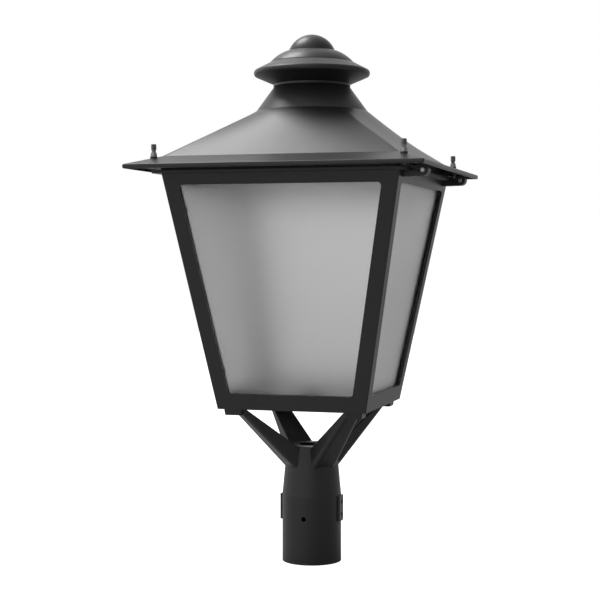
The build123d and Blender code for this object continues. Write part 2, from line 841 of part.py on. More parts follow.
with BuildPart() as hinge_leaves:
    for y in hinge_places:
        with BuildSketch(Plane.XZ.offset(-y - knuckle_width / 2)):
            with Locations((hinge_x, hinge_z)):
                Circle(knuckle_r)
            Polygon(
                (hinge_x - knuckle_r, hinge_z),
                (hinge_x + leaf_front, hinge_z),
                (hinge_x + leaf_front, leaf_pad_z),
                (hinge_x - knuckle_r, leaf_pad_z),
                align=None,
            )
        extrude(amount=knuckle_width)
        with BuildSketch(Plane.XY.offset(leaf_z)):
            with Locations((hinge_x + (leaf_front - leaf_back) / 2, y)):
                Rectangle(leaf_front + leaf_back, leaf_width)
            with Locations((leaf_screw_x, y)):
                with GridLocations(0, leaf_screw_spacing, 1, 2):
                    Circle(small_screw_r + hole_gap, mode=Mode.SUBTRACT)
        extrude(amount=leaf_thickness)
        with BuildSketch(Plane.XZ.offset(-y - knuckle_width / 2)):
            with Locations((hinge_x, hinge_z)):
                Circle(hinge_pin_r + running_gap)
        extrude(amount=knuckle_width, mode=Mode.SUBTRACT)
hinge_leaves.part.label = "hinge_leaves"
export_step(hinge_leaves.part, "parts/hinge_leaves.step")

leaf_bite = 5.0
leaf_screw = pan_screw(small_screw_r, leaf_thickness + leaf_bite)
with BuildPart() as hinge_leaf_screws:
    for y in hinge_places:
        with Locations(Location((leaf_screw_x, y, leaf_z), (180, 0, 0))):
            with GridLocations(0, leaf_screw_spacing, 1, 2):
                add(leaf_screw)
hinge_leaf_screws.part.label = "hinge_leaf_screws"
export_step(hinge_leaf_screws.part, "parts/hinge_leaf_screws.step")

# ---------------------------------------------------------------- roof shell

roof_outside = roof_form(0)
roof_inside = roof_form(roof_skin)
cavity_half = brim_half - brim_lip
boss_top_z = roof_top_z
catch_bite = 4.0
pillar_bite = 14.0
with BuildPart() as roof_hollow:
    add(roof_inside)
    with BuildSketch(Plane.XY.offset(roof_z - roof_skin)):
        Rectangle(2 * cavity_half, 2 * cavity_half)
    extrude(amount=roof_top_z - roof_z + roof_skin, mode=Mode.INTERSECT)
    with BuildSketch(Plane.XY.offset(roof_z)):
        RectangleRounded(2 * rib_outer_half, 2 * rib_outer_half, rim_corner_r)
        RectangleRounded(
            2 * rib_inner_half, 2 * rib_inner_half, rim_corner_r / 2, mode=Mode.SUBTRACT
        )
    extrude(amount=boss_top_z - roof_z, mode=Mode.SUBTRACT)
    with BuildSketch(Plane.XY.offset(stud_boss_z)):
        with GridLocations(2 * stud_centre, 2 * stud_centre, 2, 2):
            Circle(stud_boss_r)
    extrude(amount=boss_top_z - stud_boss_z, mode=Mode.SUBTRACT)
    with BuildSketch(Plane.XY.offset(tray_top_z)):
        with GridLocations(2 * pillar_centre, 2 * pillar_centre, 2, 2):
            Circle(pillar_r)
    extrude(amount=boss_top_z - tray_top_z, mode=Mode.SUBTRACT)
    with BuildSketch(Plane.XY.offset(leaf_pad_z)):
        with Locations((hinge_x + (leaf_front - leaf_back) / 2, 0)):
            with GridLocations(0, 2 * hinge_half, 1, 2):
                Rectangle(leaf_front + leaf_back, leaf_width)
    extrude(amount=boss_top_z - leaf_pad_z, mode=Mode.SUBTRACT)
    with BuildSketch(Plane.XY.offset(catch_pad_z)):
        with Locations((latch_x, catch_screw_y - latch_plate / 2)):
            Rectangle(catch_width, catch_base + latch_plate)
    extrude(amount=boss_top_z - catch_pad_z, mode=Mode.SUBTRACT)

with BuildPart() as roof_shell:
    add(roof_outside)
    fillet(roof_shell.edges().filter_by_position(Axis.Z, roof_z - part_gap, roof_z + part_gap), brim_edge_r)
    brim_top_edges = roof_shell.edges().filter_by_position(
        Axis.Z, brim_top_z - part_gap, brim_top_z + part_gap
    )
    fillet(brim_top_edges, brim_edge_r)
    with BuildSketch(Plane.XY.offset(brim_top_z)):
        with GridLocations(2 * stud_centre, 2 * stud_centre, 2, 2):
            Circle(stud_collar_r + part_gap)
    extrude(amount=stud_seat_z - brim_top_z)
    add(roof_hollow.part, mode=Mode.SUBTRACT)
    with BuildSketch(Plane.XY.offset(roof_land_z)):
        Circle(vent_r)
        with PolarLocations(chimney_screw_r, 4, start_angle=45):
            Circle(screw_r + hole_gap)
    extrude(amount=roof_skin, mode=Mode.SUBTRACT)
    with BuildSketch(Plane.XY.offset(stud_boss_z)):
        with GridLocations(2 * stud_centre, 2 * stud_centre, 2, 2):
            Circle(stud_neck_r + hole_gap)
    extrude(amount=stud_boss_depth, mode=Mode.SUBTRACT)
    with BuildSketch(Plane.XY.offset(tray_top_z)):
        with GridLocations(2 * pillar_centre, 2 * pillar_centre, 2, 2):
            Circle(screw_r + thread_gap)
    extrude(amount=pillar_bite + part_gap, mode=Mode.SUBTRACT)
    with BuildSketch(Plane.XY.offset(leaf_pad_z)):
        with Locations((leaf_screw_x, 0)):
            with GridLocations(0, 2 * hinge_half, 1, 2):
                with GridLocations(0, leaf_screw_spacing, 1, 2):
                    Circle(small_screw_r + thread_gap)
    extrude(amount=leaf_bite + part_gap, mode=Mode.SUBTRACT)
    with BuildSketch(Plane.XY.offset(catch_pad_z)):
        with Locations((latch_x, catch_screw_y)):
            Circle(small_screw_r + thread_gap)
    extrude(amount=catch_bite + part_gap, mode=Mode.SUBTRACT)
roof_shell.part.label = "roof_shell"
export_step(roof_shell.part, "parts/roof_shell.step")

# ---------------------------------------------------------------- chimney and cap

chimney_lean = (roof_top_r - chimney_top_r) / chimney_rise
chimney_inner_foot_r = roof_top_r - chimney_flange_thickness * chimney_lean - chimney_wall
bead_ring_r = chimney_top_r + bead_ring_proud
with BuildPart() as chimney_cone:
    with BuildSketch(Plane.XZ):
        Polygon(
            (roof_top_r - chimney_flange, roof_top_z),
            (roof_top_r, roof_top_z),
            (chimney_top_r, chimney_plate_z),
            (bead_ring_r, chimney_plate_z),
            (bead_ring_r, chimney_top_z),
            (0, chimney_top_z),
            (0, chimney_plate_z),
            (chimney_top_r - chimney_wall, chimney_plate_z),
            (chimney_inner_foot_r, roof_top_z + chimney_flange_thickness),
            (roof_top_r - chimney_flange, roof_top_z + chimney_flange_thickness),
            align=None,
        )
    revolve(axis=Axis.Z)
    with BuildSketch(Plane.XY.offset(chimney_plate_z)):
        Circle(tie_rod_r + hole_gap)
        with PolarLocations(vent_circle_r, vent_hole_count):
            Circle(vent_hole_r)
    extrude(amount=chimney_plate, mode=Mode.SUBTRACT)
    with BuildSketch(Plane.XY.offset(roof_top_z)):
        with PolarLocations(chimney_screw_r, 4, start_angle=45):
            Circle(screw_r + thread_gap)
    extrude(amount=chimney_flange_thickness, mode=Mode.SUBTRACT)
chimney_cone.part.label = "chimney_cone"
export_step(chimney_cone.part, "parts/chimney_cone.step")

chimney_screw = pan_screw(screw_r, roof_skin + chimney_flange_thickness)
with BuildPart() as chimney_screws:
    with Locations(Location((0, 0, roof_land_z), (180, 0, 0))):
        with PolarLocations(chimney_screw_r, 4, start_angle=45):
            add(chimney_screw)
chimney_screws.part.label = "chimney_screws"
export_step(chimney_screws.part, "parts/chimney_screws.step")

saucer_edge_r = saucer_r - saucer_rim_bulge
saucer_top_edge_z = saucer_edge_z + saucer_rim
saucer_inner_r = saucer_edge_r - saucer_wall
with BuildPart() as cap_saucer:
    with BuildSketch(Plane.XZ):
        with BuildLine():
            Polyline(
                (saucer_hole_r, chimney_top_z),
                (saucer_foot_r, chimney_top_z),
                (saucer_edge_r, saucer_edge_z),
            )
            ThreePointArc(
                (saucer_edge_r, saucer_edge_z),
                (saucer_r, saucer_edge_z + saucer_rim / 2),
                (saucer_edge_r, saucer_top_edge_z),
            )
            Polyline(
                (saucer_edge_r, saucer_top_edge_z),
                (saucer_top_r, saucer_top_z),
                (saucer_hole_r, saucer_top_z),
                (saucer_hole_r, saucer_top_z - saucer_wall),
                (saucer_top_r - saucer_wall / 4, saucer_top_z - saucer_wall),
                (saucer_inner_r, saucer_top_edge_z - saucer_wall / 2),
                (saucer_inner_r, saucer_edge_z + saucer_wall / 2),
                (saucer_foot_r - saucer_wall / 4, chimney_top_z + saucer_wall),
                (saucer_hole_r, chimney_top_z + saucer_wall),
                (saucer_hole_r, chimney_top_z),
            )
        make_face()
    revolve(axis=Axis.Z)
cap_saucer.part.label = "cap_saucer"
export_step(cap_saucer.part, "parts/cap_saucer.step")


def bulged_arc(start, end, bulge):
    """An arc between two points of a section, its middle pushed out, away from the axis foot."""
    along = Vector(*end) - Vector(*start)
    outwards = Vector(-along.Y, along.X).normalized()
    middle = (Vector(*start) + Vector(*end)) * 0.5 - outwards * bulge
    return ThreePointArc(start, middle, end)


crown_shoulder_z = saucer_top_z + crown_foot
with BuildPart() as crown_cap:
    with BuildSketch(Plane.XZ):
        with BuildLine():
            Line((crown_r, saucer_top_z), (crown_r, crown_shoulder_z))
            bulged_arc((crown_r, crown_shoulder_z), (crown_top_r, crown_top_z), crown_bulge)
            Polyline(
                (crown_top_r, crown_top_z),
                (tie_rod_r + hole_gap, crown_top_z),
                (tie_rod_r + hole_gap, crown_top_z - crown_wall),
                (crown_top_r - crown_wall, crown_top_z - crown_wall),
            )
            bulged_arc(
                (crown_r - 1.5 * crown_wall, saucer_top_z),
                (crown_top_r - crown_wall, crown_top_z - crown_wall),
                crown_bulge,
            )
            Line((crown_r - 1.5 * crown_wall, saucer_top_z), (crown_r, saucer_top_z))
        make_face()
    revolve(axis=Axis.Z)
crown_cap.part.label = "crown_cap"
export_step(crown_cap.part, "parts/crown_cap.step")

dome_inner_r = dome_r - dome_wall
dome_inner_foot_r = sqrt(dome_inner_r**2 - (crown_top_z - dome_centre_z) ** 2)
dome_inner_boss_z = dome_centre_z + sqrt(dome_inner_r**2 - dome_boss_r**2)
dome_foot_z = crown_top_z + dome_foot


def dome_arc(radius, low, high):
    """The part of a circle about the dome's centre that runs between two points of the section."""
    middle = ((Vector(*low) + Vector(*high)) * 0.5 - Vector(0, dome_centre_z)).normalized()
    return ThreePointArc(low, Vector(0, dome_centre_z) + middle * radius, high)


with BuildPart() as dome_finial:
    with BuildSketch(Plane.XZ):
        with BuildLine():
            Polyline(
                (dome_inner_foot_r, crown_top_z),
                (dome_foot_r, crown_top_z),
                (dome_foot_r, dome_foot_z),
            )
            dome_arc(dome_r, (dome_foot_r, dome_foot_z), (0, dome_centre_z + dome_r))
            Polyline(
                (0, dome_centre_z + dome_r),
                (0, crown_top_z),
                (dome_boss_r, crown_top_z),
                (dome_boss_r, dome_inner_boss_z),
            )
            dome_arc(
                dome_inner_r, (dome_inner_foot_r, crown_top_z), (dome_boss_r, dome_inner_boss_z)
            )
        make_face()
    revolve(axis=Axis.Z)
    with BuildSketch(Plane.XY.offset(crown_top_z)):
        Circle(tie_rod_r + thread_gap)
    extrude(amount=tie_grip + part_gap, mode=Mode.SUBTRACT)
dome_finial.part.label = "dome_finial"
export_step(dome_finial.part, "parts/dome_finial.step")

# A rod from a bridge under the roof's crown pulls chimney, saucer, crown and dome together
with BuildPart() as tie_bridge:
    with BuildSketch(Plane.XY.offset(bridge_z)):
        RectangleRounded(bridge_length, bridge_width, bridge_width / 4)
        Circle(tie_rod_r + hole_gap, mode=Mode.SUBTRACT)
    extrude(amount=bridge_thickness)
tie_bridge.part.label = "tie_bridge"
export_step(tie_bridge.part, "parts/tie_bridge.step")

tie_low_z = bridge_z - nut_height - tie_tail
tie_high_z = crown_top_z + tie_grip
with BuildPart() as tie_rod:
    with BuildSketch(Plane.XY.offset(tie_low_z)):
        Circle(tie_rod_r)
    extrude(amount=tie_high_z - tie_low_z)
    chamfer(tie_rod.edges(), 0.2 * tie_rod_r)
tie_rod.part.label = "tie_rod"
export_step(tie_rod.part, "parts/tie_rod.step")

tie_nut_form = hex_nut(nut_across, tie_rod_r + thread_gap, nut_height)
with BuildPart() as tie_nut:
    with Locations((0, 0, bridge_z - nut_height)):
        add(tie_nut_form)
tie_nut.part.label = "tie_nut"
export_step(tie_nut.part, "parts/tie_nut.step")

# ---------------------------------------------------------------- corner studs

stud_top_z = stud_seat_z + stud_height
stud_low_z = stud_boss_z - small_nut_height - stud_tail
with BuildPart() as corner_studs:
    with BuildSketch(Plane.XY.offset(stud_low_z)):
        with GridLocations(2 * stud_centre, 2 * stud_centre, 2, 2):
            Circle(stud_neck_r)
    extrude(amount=stud_top_z - stud_low_z)
    with BuildSketch(Plane.XY.offset(stud_top_z)):
        with GridLocations(2 * stud_centre, 2 * stud_centre, 2, 2):
            Circle(stud_r)
    extrude(amount=-stud_top_height)
    fillet(corner_studs.faces().filter_by(Axis.Z).group_by(Axis.Z)[-1].edges(), 0.3 * stud_r)
corner_studs.part.label = "corner_studs"
export_step(corner_studs.part, "parts/corner_studs.step")

with BuildPart() as stud_collars:
    with BuildSketch(Plane.XY.offset(stud_seat_z)):
        with GridLocations(2 * stud_centre, 2 * stud_centre, 2, 2):
            Circle(stud_collar_r)
    extrude(amount=stud_collar_height, taper=stud_collar_flare)
    with BuildSketch(Plane.XY.offset(stud_seat_z)):
        with GridLocations(2 * stud_centre, 2 * stud_centre, 2, 2):
            Circle(stud_neck_r + thread_gap)
    extrude(amount=stud_collar_height, mode=Mode.SUBTRACT)
stud_collars.part.label = "stud_collars"
export_step(stud_collars.part, "parts/stud_collars.step")

stud_nut_form = hex_nut(small_nut_across, stud_neck_r + thread_gap, small_nut_height)
with BuildPart() as stud_nuts:
    with Locations((0, 0, stud_boss_z - small_nut_height)):
        with GridLocations(2 * stud_centre, 2 * stud_centre, 2, 2):
            add(stud_nut_form)
stud_nuts.part.label = "stud_nuts"
export_step(stud_nuts.part, "parts/stud_nuts.step")

# ---------------------------------------------------------------- quarter turn latch

bush_r = latch_r + latch_bush_wall
with BuildPart() as latch_bush:
    with BuildSketch(Plane.XY.offset(rim_z)):
        with Locations((latch_x, 0)):
            Circle(bush_r)
    extrude(amount=rim_thickness)
    with BuildSketch(Plane.XY.offset(rim_z)):
        with Locations((latch_x, 0)):
            Circle(bush_r + 2 * latch_bush_flange)
    extrude(amount=-latch_bush_flange)
    with BuildSketch(Plane.XY.offset(rim_z - latch_bush_flange)):
        with Locations((latch_x, 0)):
            Circle(latch_r + running_gap)
    extrude(amount=rim_thickness + latch_bush_flange, mode=Mode.SUBTRACT)
latch_bush.part.label = "latch_bush"
export_step(latch_bush.part, "parts/latch_bush.step")

wing_top_z = rim_z - latch_bush_flange - part_gap
latch_top_z = latch_tongue_z + latch_plate + latch_nut_height
with BuildPart() as latch_spindle:
    with BuildSketch(Plane.XY.offset(wing_top_z - wing_height)):
        with Locations((latch_x, 0)):
            Circle(wing_hub_r)
            SlotOverall(2 * wing_reach, wing_thickness)
    extrude(amount=wing_height)
    chamfer(latch_spindle.faces().sort_by(Axis.Z)[0].edges(), 0.1 * wing_thickness)
    with BuildSketch(Plane.XY.offset(wing_top_z)):
        with Locations((latch_x, 0)):
            Circle(latch_r)
    extrude(amount=latch_top_z - wing_top_z)
latch_spindle.part.label = "latch_spindle"
export_step(latch_spindle.part, "parts/latch_spindle.step")

with BuildPart() as latch_spacer:
    with BuildSketch(Plane.XY.offset(rim_top_z + part_gap)):
        with Locations((latch_x, 0)):
            Circle(latch_tongue_width / 2)
            Circle(latch_r + thread_gap, mode=Mode.SUBTRACT)
    extrude(amount=latch_tongue_z - rim_top_z - part_gap)
latch_spacer.part.label = "latch_spacer"
export_step(latch_spacer.part, "parts/latch_spacer.step")

# Unlocked, the tongue points outwards; locked, it lies over the catch on the roof
with BuildPart() as latch_tongue_plate:
    with BuildSketch(Plane.XY.offset(latch_tongue_z)):
        with Locations((latch_x - (latch_tongue - latch_tongue_width / 2) / 2, 0)):
            SlotOverall(latch_tongue + latch_tongue_width / 2, latch_tongue_width)
        with Locations((latch_x, 0)):
            Circle(latch_r + thread_gap, mode=Mode.SUBTRACT)
    extrude(amount=latch_plate)
latch_tongue_plate.part.label = "latch_tongue"
export_step(latch_tongue_plate.part, "parts/latch_tongue.step")

latch_nut_form = hex_nut(latch_tongue_width, latch_r + thread_gap, latch_nut_height)
with BuildPart() as latch_nut:
    with Locations((latch_x, 0, latch_tongue_z + latch_plate)):
        add(latch_nut_form)
latch_nut.part.label = "latch_nut"
export_step(latch_nut.part, "parts/latch_nut.step")

with BuildPart() as latch_catch:
    with BuildSketch(Plane.YZ.offset(latch_x - catch_width / 2)):
        catch_base_z = catch_pad_z - latch_plate
        Polygon(
            (catch_foot_y, latch_foot_z),
            (catch_leg_y + latch_plate, latch_foot_z),
            (catch_leg_y + latch_plate, catch_base_z),
            (catch_leg_y + latch_plate + catch_base, catch_base_z),
            (catch_leg_y + latch_plate + catch_base, catch_pad_z),
            (catch_leg_y, catch_pad_z),
            (catch_leg_y, latch_foot_z + latch_plate),
            (catch_foot_y, latch_foot_z + latch_plate),
            align=None,
        )
    extrude(amount=catch_width)
    with BuildSketch(Plane.XY.offset(catch_base_z)):
        with Locations((latch_x, catch_screw_y)):
            Circle(small_screw_r + hole_gap)
    extrude(amount=latch_plate, mode=Mode.SUBTRACT)
latch_catch.part.label = "latch_catch"
export_step(latch_catch.part, "parts/latch_catch.step")

catch_screw_form = pan_screw(small_screw_r, latch_plate + catch_bite)
with BuildPart() as catch_screw:
    with Locations(Location((latch_x, catch_screw_y, catch_base_z), (180, 0, 0))):
        add(catch_screw_form)
catch_screw.part.label = "catch_screw"
export_step(catch_screw.part, "parts/catch_screw.step")

# ---------------------------------------------------------------- gear under the roof

board_z = tray_z - board_thickness
driver_screw_x = driver_length / 2 + driver_foot / 2
terminal_screw_x = terminal_length / 2 + terminal_foot / 2
with BuildPart() as gear_tray:
    with BuildSketch(Plane.XY.offset(tray_z)):
        Rectangle(2 * tray_half, 2 * tray_half)
    extrude(amount=tray_flange)
    with BuildSketch(Plane.XY.offset(tray_top_z)):
        inner_side = 2 * (tray_half - tray_thickness)
        Rectangle(inner_side, inner_side)
    extrude(amount=tray_flange, mode=Mode.SUBTRACT)
    with BuildSketch(Plane.XY.offset(tray_z)):
        with GridLocations(2 * pillar_centre, 2 * pillar_centre, 2, 2):
            Circle(screw_r + hole_gap)
        with GridLocations(2 * board_screw_half, 2 * board_screw_half, 2, 2):
            Circle(small_screw_r + hole_gap)
        with GridLocations(2 * diffuser_screw_half, 2 * diffuser_screw_half, 2, 2):
            Circle(small_screw_r + hole_gap)
        with Locations((0, driver_y)):
            with GridLocations(2 * driver_screw_x, 0, 2, 1):
                Circle(small_screw_r + thread_gap)
        with Locations((0, terminal_y)):
            with GridLocations(2 * terminal_screw_x, 0, 2, 1):
                Circle(small_screw_r + thread_gap)
    extrude(amount=tray_thickness, mode=Mode.SUBTRACT)
gear_tray.part.label = "gear_tray"
export_step(gear_tray.part, "parts/gear_tray.step")

tray_screw = pan_screw(screw_r, tray_thickness + pillar_bite)
with BuildPart() as tray_screws:
    with Locations(Location((0, 0, tray_z), (180, 0, 0))):
        with GridLocations(2 * pillar_centre, 2 * pillar_centre, 2, 2):
            add(tray_screw)
tray_screws.part.label = "tray_screws"
export_step(tray_screws.part, "parts/tray_screws.step")

fin_spacing = (sink_side - sink_fin_thickness) / (sink_fin_count - 1)
with BuildPart() as heat_sink:
    with BuildSketch(Plane.XY.offset(tray_top_z)):
        Rectangle(sink_side, sink_side)
    extrude(amount=sink_base)
    with BuildSketch(Plane.XY.offset(tray_top_z + sink_base)):
        with GridLocations(fin_spacing, 0, sink_fin_count, 1):
            Rectangle(sink_fin_thickness, sink_side)
    extrude(amount=sink_fin)
    with BuildSketch(Plane.XY.offset(tray_top_z)):
        with GridLocations(2 * board_screw_half, 2 * board_screw_half, 2, 2):
            Circle(small_screw_r + thread_gap)
    extrude(amount=sink_base - part_gap, mode=Mode.SUBTRACT)
heat_sink.part.label = "heat_sink"
export_step(heat_sink.part, "parts/heat_sink.step")

with BuildPart() as led_board:
    with BuildSketch(Plane.XY.offset(board_z)):
        Rectangle(board_side, board_side)
        with GridLocations(2 * board_screw_half, 2 * board_screw_half, 2, 2):
            Circle(small_screw_r + hole_gap, mode=Mode.SUBTRACT)
    extrude(amount=board_thickness)
led_board.part.label = "led_board"
export_step(led_board.part, "parts/led_board.step")

with BuildPart() as led_chips:
    with BuildSketch(Plane.XY.offset(board_z)):
        with GridLocations(chip_spacing, chip_spacing, chip_rows, chip_rows):
            Rectangle(chip_side, chip_side)
    extrude(amount=-chip_height)
led_chips.part.label = "led_chips"
export_step(led_chips.part, "parts/led_chips.step")

board_bite = 4.0
board_screw = pan_screw(small_screw_r, board_thickness + tray_thickness + board_bite)
with BuildPart() as board_screws:
    with Locations(Location((0, 0, board_z), (180, 0, 0))):
        with GridLocations(2 * board_screw_half, 2 * board_screw_half, 2, 2):
            add(board_screw)
board_screws.part.label = "board_screws"
export_step(board_screws.part, "parts/board_screws.step")

with BuildPart() as diffuser:
    with BuildSketch(Plane.XY.offset(tray_z)):
        RectangleRounded(diffuser_side, diffuser_side, diffuser_corner_r)
    extrude(amount=-diffuser_depth)
    fillet(diffuser.faces().sort_by(Axis.Z)[0].edges(), diffuser_corner_r / 2)
    with BuildSketch(Plane.XY.offset(tray_z)):
        inner_side = diffuser_side - 2 * diffuser_wall
        RectangleRounded(inner_side, inner_side, diffuser_corner_r - diffuser_wall)
        with GridLocations(2 * diffuser_screw_half, 2 * diffuser_screw_half, 2, 2):
            Circle(diffuser_boss_r, mode=Mode.SUBTRACT)
    extrude(amount=diffuser_wall - diffuser_depth, mode=Mode.SUBTRACT)
    with BuildSketch(Plane.XY.offset(tray_z)):
        with GridLocations(2 * diffuser_screw_half, 2 * diffuser_screw_half, 2, 2):
            Circle(small_screw_r + thread_gap)
    extrude(amount=-diffuser_depth / 2, mode=Mode.SUBTRACT)
diffuser.part.label = "diffuser"
export_step(diffuser.part, "parts/diffuser.step")

diffuser_screw = pan_screw(small_screw_r, tray_thickness + diffuser_depth / 2 - part_gap)
with BuildPart() as diffuser_screws:
    with Locations((0, 0, tray_top_z)):
        with GridLocations(2 * diffuser_screw_half, 2 * diffuser_screw_half, 2, 2):
            add(diffuser_screw)
diffuser_screws.part.label = "diffuser_screws"
export_step(diffuser_screws.part, "parts/diffuser_screws.step")

with BuildPart() as driver:
    with BuildSketch(Plane.XY.offset(tray_top_z)):
        with Locations((0, driver_y)):
            RectangleRounded(driver_length, driver_width, 2 * part_gap)
    extrude(amount=driver_height)
    with BuildSketch(Plane.XY.offset(tray_top_z)):
        with Locations((0, driver_y)):
            SlotOverall(driver_length + 2 * driver_foot, driver_width / 2)
            with GridLocations(2 * driver_screw_x, 0, 2, 1):
                Circle(small_screw_r + hole_gap, mode=Mode.SUBTRACT)
    extrude(amount=driver_foot_thickness)
driver.part.label = "driver"
export_step(driver.part, "parts/driver.step")

driver_screw = pan_screw(small_screw_r, driver_foot_thickness + tray_thickness)
with BuildPart() as driver_screws:
    with Locations((0, driver_y, tray_top_z + driver_foot_thickness)):
        with GridLocations(2 * driver_screw_x, 0, 2, 1):
            add(driver_screw)
driver_screws.part.label = "driver_screws"
export_step(driver_screws.part, "parts/driver_screws.step")

with BuildPart() as terminal_block:
    with BuildSketch(Plane.XY.offset(tray_top_z)):
        with Locations((0, terminal_y)):
            Rectangle(terminal_length, terminal_width)
    extrude(amount=terminal_height)
    with BuildSketch(Plane.XY.offset(tray_top_z)):
        with Locations((0, terminal_y)):
            SlotOverall(terminal_length + 2 * terminal_foot, terminal_width / 2)
            with GridLocations(2 * terminal_screw_x, 0, 2, 1):
                Circle(small_screw_r + hole_gap, mode=Mode.SUBTRACT)
    extrude(amount=driver_foot_thickness)
    with BuildSketch(Plane.XY.offset(tray_top_z + terminal_height)):
        with Locations((0, terminal_y)):
            with GridLocations(terminal_length / 5, terminal_width / 2, 5, 2):
                Circle(screw_r)
    extrude(amount=-terminal_height / 3, mode=Mode.SUBTRACT)
terminal_block.part.label = "terminal_block"
export_step(terminal_block.part, "parts/terminal_block.step")

terminal_screw = pan_screw(small_screw_r, driver_foot_thickness + tray_thickness)
with BuildPart() as terminal_screws:
    with Locations((0, terminal_y, tray_top_z + driver_foot_thickness)):
        with GridLocations(2 * terminal_screw_x, 0, 2, 1):
            add(terminal_screw)
terminal_screws.part.label = "terminal_screws"
export_step(terminal_screws.part, "parts/terminal_screws.step")
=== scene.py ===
import json
from math import ceil, pi, radians

import bpy
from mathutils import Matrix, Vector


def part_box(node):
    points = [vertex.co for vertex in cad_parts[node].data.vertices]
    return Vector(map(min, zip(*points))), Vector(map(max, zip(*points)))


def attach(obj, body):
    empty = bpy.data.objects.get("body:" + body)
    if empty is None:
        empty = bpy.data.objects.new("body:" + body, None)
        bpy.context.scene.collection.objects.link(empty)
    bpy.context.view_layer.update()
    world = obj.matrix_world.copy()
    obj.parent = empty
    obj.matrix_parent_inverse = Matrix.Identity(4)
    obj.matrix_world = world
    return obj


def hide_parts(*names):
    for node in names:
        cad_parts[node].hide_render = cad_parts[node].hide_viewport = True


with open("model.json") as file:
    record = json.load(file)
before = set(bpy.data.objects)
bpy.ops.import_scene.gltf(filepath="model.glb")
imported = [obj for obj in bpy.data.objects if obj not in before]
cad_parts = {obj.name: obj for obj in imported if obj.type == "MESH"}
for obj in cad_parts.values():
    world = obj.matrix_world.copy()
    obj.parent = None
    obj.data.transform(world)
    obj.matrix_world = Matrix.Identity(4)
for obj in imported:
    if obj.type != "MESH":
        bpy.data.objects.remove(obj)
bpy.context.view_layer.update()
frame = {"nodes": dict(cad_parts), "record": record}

bl_info = {
    "name": "Post top lantern",
    "version": (1, 1, 0),
    "blender": (4, 5, 0),
    "location": "View3D > Sidebar > Lantern",
    "description": "Dresses the packed post top lantern: castings, glass, threads, gear and stage",
    "category": "Object",
}

NODES = frame["nodes"]

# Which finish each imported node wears, and which body it moves with.
FINISH_OF = {entry["node"]: entry["material_slot"] for entry in frame["record"]["subparts"]}
BODY_OF = {
    node: body
    for body, nodes in frame["record"]["behaviour"]["bodies"].items()
    for node in nodes
}

CASTINGS = ("corner_beads", "hinge_brackets", "hinge_leaves")
PANES = ("front_pane", "right_pane", "back_pane", "left_pane")
HARDWARE = (
    "socket_set_screws",
    "bracket_bolts",
    "bracket_washers",
    "floor_plate",
    "floor_screws",
    "gland_body",
    "gland_cap",
    "gland_locknut",
    "hinge_pins",
    "hinge_bracket_screws",
    "hinge_leaf_screws",
    "stud_collars",
    "stud_nuts",
    "latch_bush",
    "latch_spindle",
    "latch_tongue",
    "latch_nut",
    "latch_catch",
)
GEAR = ("heat_sink", "diffuser", "driver", "terminal_block", "led_board")

# Points nearer than this are one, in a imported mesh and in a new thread.
PACKED_WELD = 0.00001
THREAD_WELD = 0.000001
# Edges sharper than this are rounded, or stay sharp in the shading.
SHARP_ANGLE = radians(35)
STUD_SHARP_ANGLE = radians(40)

# The corner studs, in metres: a plain neck, and above it a threaded head round a core.
ROUND_SIDES = 24
STUD_R = 0.004
STUD_NECK_R = 0.003
STUD_HEAD_HEIGHT = 0.008
STUD_FOOT_CHAMFER = 0.0005
# The neck runs out to the core this far below and above the head's foot.
STUD_SHOULDER = 0.0004
# The core ends this far under the stud's end.
STUD_CORE_SINK = 0.001
# What is left of the radius at the foot, at the core's end and at the thread's end.
STUD_FOOT_TAPER = 0.85
STUD_CORE_TAPER = 0.8
THREAD_END_TAPER = 0.82
# A thread's flank and its flat crest, as shares of the pitch.
THREAD_FLANK = 0.44
THREAD_FLAT = 0.12

# How many waves of noise a metre holds in the coat's clouds and in the glass's etch.
COAT_CLOUDS = 14.0
GLASS_ETCH = 900.0
# How far a finish's grain moves its roughness, up or down, and how far down on the coat.
ROUGHNESS_SPREAD = 0.1
COAT_GLOSS_SPREAD = 0.06


# ---------------------------------------------------------------- settings


class FinishSettings(bpy.types.PropertyGroup):
    """Colours, as sRGB hex values, and grain sizes of the lantern's finishes."""

    coat_hex: bpy.props.StringProperty(
        name="Powder coat", description="Colour of the castings", default="1c1c1c"
    )
    coat_cloud_hex: bpy.props.StringProperty(
        name="Thick coat", description="Colour where the coat is thickest", default="212121"
    )
    coat_grain: bpy.props.FloatProperty(
        name="Coat grain",
        description="Size of the powder coat's texture",
        default=0.0016,
        min=0.0002,
        unit="LENGTH",
    )
    coat_roughness: bpy.props.FloatProperty(
        name="Coat roughness",
        description="How dull the powder coat is",
        default=0.37,
        min=0.0,
        max=1.0,
        subtype="FACTOR",
    )
    glass_hex: bpy.props.StringProperty(
        name="Frosted glass", description="Tint of the panes", default="ececec"
    )
    glass_roughness: bpy.props.FloatProperty(
        name="Frosting",
        description="How far the panes blur what is behind them",
        default=0.38,
        min=0.0,
        max=1.0,
        subtype="FACTOR",
    )


